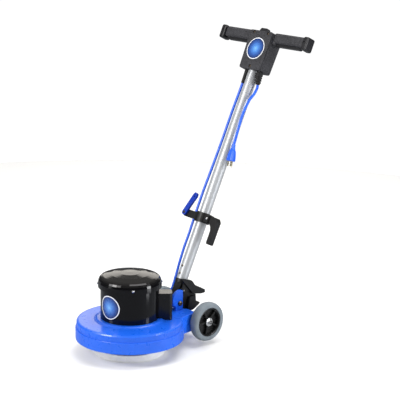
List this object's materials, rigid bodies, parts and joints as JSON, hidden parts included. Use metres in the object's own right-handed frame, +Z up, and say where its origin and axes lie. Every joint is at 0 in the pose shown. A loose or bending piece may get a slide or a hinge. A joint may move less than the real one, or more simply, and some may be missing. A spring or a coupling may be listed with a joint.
{
  "type": "rotary floor machine",
  "caption": "Rotary floor machine with a round deck and pad, upright motor, transport wheels, and a tilting T-handle with triggers, cord hooks and a mains pigtail.",
  "frame": {"origin": "centre of the pad's lower face, on the floor", "axes": "+Z up, -Y towards the front of the round deck, +Y towards the wheels and the handle, X along the wheel axle"},
  "size_m": [0.4142, 0.8215, 1.0274],
  "materials": {
    "blue_plastic": "moulded blue plastic, satin gloss",
    "black_gloss": "gloss black",
    "textured_black": "grained black plastic",
    "black_cast": "black paint, satin",
    "black_trim": "smooth black",
    "grey_rubber": "light grey rubber",
    "black_hub": "black plastic",
    "steel": "zinc-plated steel",
    "bright_tube": "polished",
    "aluminium": "cast and drawn",
    "white_pad": "non-woven fibre",
    "grey_driver": "moulded",
    "badge": "printed label, plain ring and disc",
    "windings": "laminations with enamelled windings",
    "blue_lead": "blue jacket",
    "black_rubber": "black rubber",
    "brass": "plated brass"
  },
  "bodies": {
    "deck": {"deck_housing": "blue_plastic", "motor_cover": "black_gloss", "motor_cap": "black_gloss", "cap_screw_1": "steel", "cap_screw_2": "steel", "cap_screw_3": "steel", "cap_screw_4": "steel", "capacitor_cover": "black_gloss", "capacitor": "aluminium", "motor_badge": "badge", "motor_stator": "windings", "motor_bearing": "steel", "gear_case": "aluminium", "axle": "steel", "wheel_cap_r": "steel", "wheel_cap_l": "steel", "pivot_bolt": "steel", "pivot_nut": "steel", "motor_lead_lower": "blue_lead", "deck_lead_grommet": "black_rubber"},
    "brush": {"output_shaft": "steel", "pad_driver": "grey_driver", "pad": "white_pad"},
    "rotor": {"motor_rotor": "steel", "cooling_fan": "textured_black"},
    "wheel_r": {"tyre_r": "grey_rubber", "hub_r": "black_hub"},
    "wheel_l": {"tyre_l": "grey_rubber", "hub_l": "black_hub"},
    "handle": {"handle_yoke": "black_cast", "pedal_pin": "steel", "handle_tube": "bright_tube", "tube_screw_1": "steel", "tube_screw_2": "steel", "handle_rear_shell": "textured_black", "handle_front_shell": "textured_black", "shell_screw_1": "black_trim", "shell_screw_2": "black_trim", "shell_screw_3": "black_trim", "handle_badge": "badge", "end_cap_r": "black_trim", "end_cap_l": "black_trim", "power_switch": "black_rubber", "motor_lead_relief": "black_rubber", "mains_relief": "black_rubber", "motor_lead_upper": "blue_lead", "hook_bracket": "black_cast", "bracket_screw": "steel", "cord_hook_pin": "black_trim", "mains_pigtail": "blue_lead", "mains_plug": "blue_lead", "plug_blade_a": "brass", "plug_blade_b": "brass", "plug_ground_pin": "brass"},
    "pedal": {"foot_pedal": "black_cast"},
    "trigger_r": {"trigger_r": "black_trim"},
    "trigger_l": {"trigger_l": "black_trim"},
    "button": {"lockout_button": "black_trim"},
    "hook": {"cord_hook": "blue_plastic"}
  },
  "joints": [
    {"name": "handle_tilt", "type": "hinge", "parent": "deck", "child": "handle", "pos_m": [0, 0.187, 0.136], "axis": [1, 0, 0], "range_deg": [-10, 25]},
    {"name": "brush_spin", "type": "hinge", "parent": "deck", "child": "brush", "pos_m": [0, 0, 0.05], "axis": [0, 0, 1], "continuous": true},
    {"name": "rotor_spin", "type": "hinge", "parent": "deck", "child": "rotor", "pos_m": [0, 0, 0.17], "axis": [0, 0, 1], "continuous": true},
    {"name": "wheel_spin_r", "type": "hinge", "parent": "deck", "child": "wheel_r", "pos_m": [0.1157, 0.2416, 0.0799], "axis": [1, 0, 0], "continuous": true},
    {"name": "wheel_spin_l", "type": "hinge", "parent": "deck", "child": "wheel_l", "pos_m": [-0.1157, 0.2416, 0.0799], "axis": [1, 0, 0], "continuous": true},
    {"name": "pedal_press", "type": "hinge", "parent": "handle", "child": "pedal", "pos_m": [0, 0.2152, 0.1724], "axis": [1, 0, 0], "range_deg": [-5, 0], "stiffness_Nm_per_rad": 8, "springref_deg": 6.88},
    {"name": "trigger_r_squeeze", "type": "hinge", "parent": "handle", "child": "trigger_r", "pos_m": [0.068, 0.6052, 0.98077], "axis": [0, -0.903, 0.4297], "range_deg": [0, 2.5], "stiffness_Nm_per_rad": 3, "springref_deg": -2.86},
    {"name": "trigger_l_squeeze", "type": "hinge", "parent": "handle", "child": "trigger_l", "pos_m": [-0.068, 0.6052, 0.98077], "axis": [0, 0.903, -0.4297], "range_deg": [0, 2.5], "stiffness_Nm_per_rad": 3, "springref_deg": -2.86},
    {"name": "lockout_press", "type": "slide", "parent": "handle", "child": "button", "axis": [0, -0.4297, -0.903], "range_m": [0, 0.005], "stiffness_N_per_m": 400, "springref_m": -0.003},
    {"name": "cord_hook_swing", "type": "hinge", "parent": "handle", "child": "hook", "pos_m": [-0.079, 0.31373, 0.40904], "axis": [0, -0.903, 0.4297], "range_deg": [0, 180]}
  ],
  "couplings": [
    {"joint": "rotor_spin", "follows": "brush_spin", "ratio": -7}
  ]
}
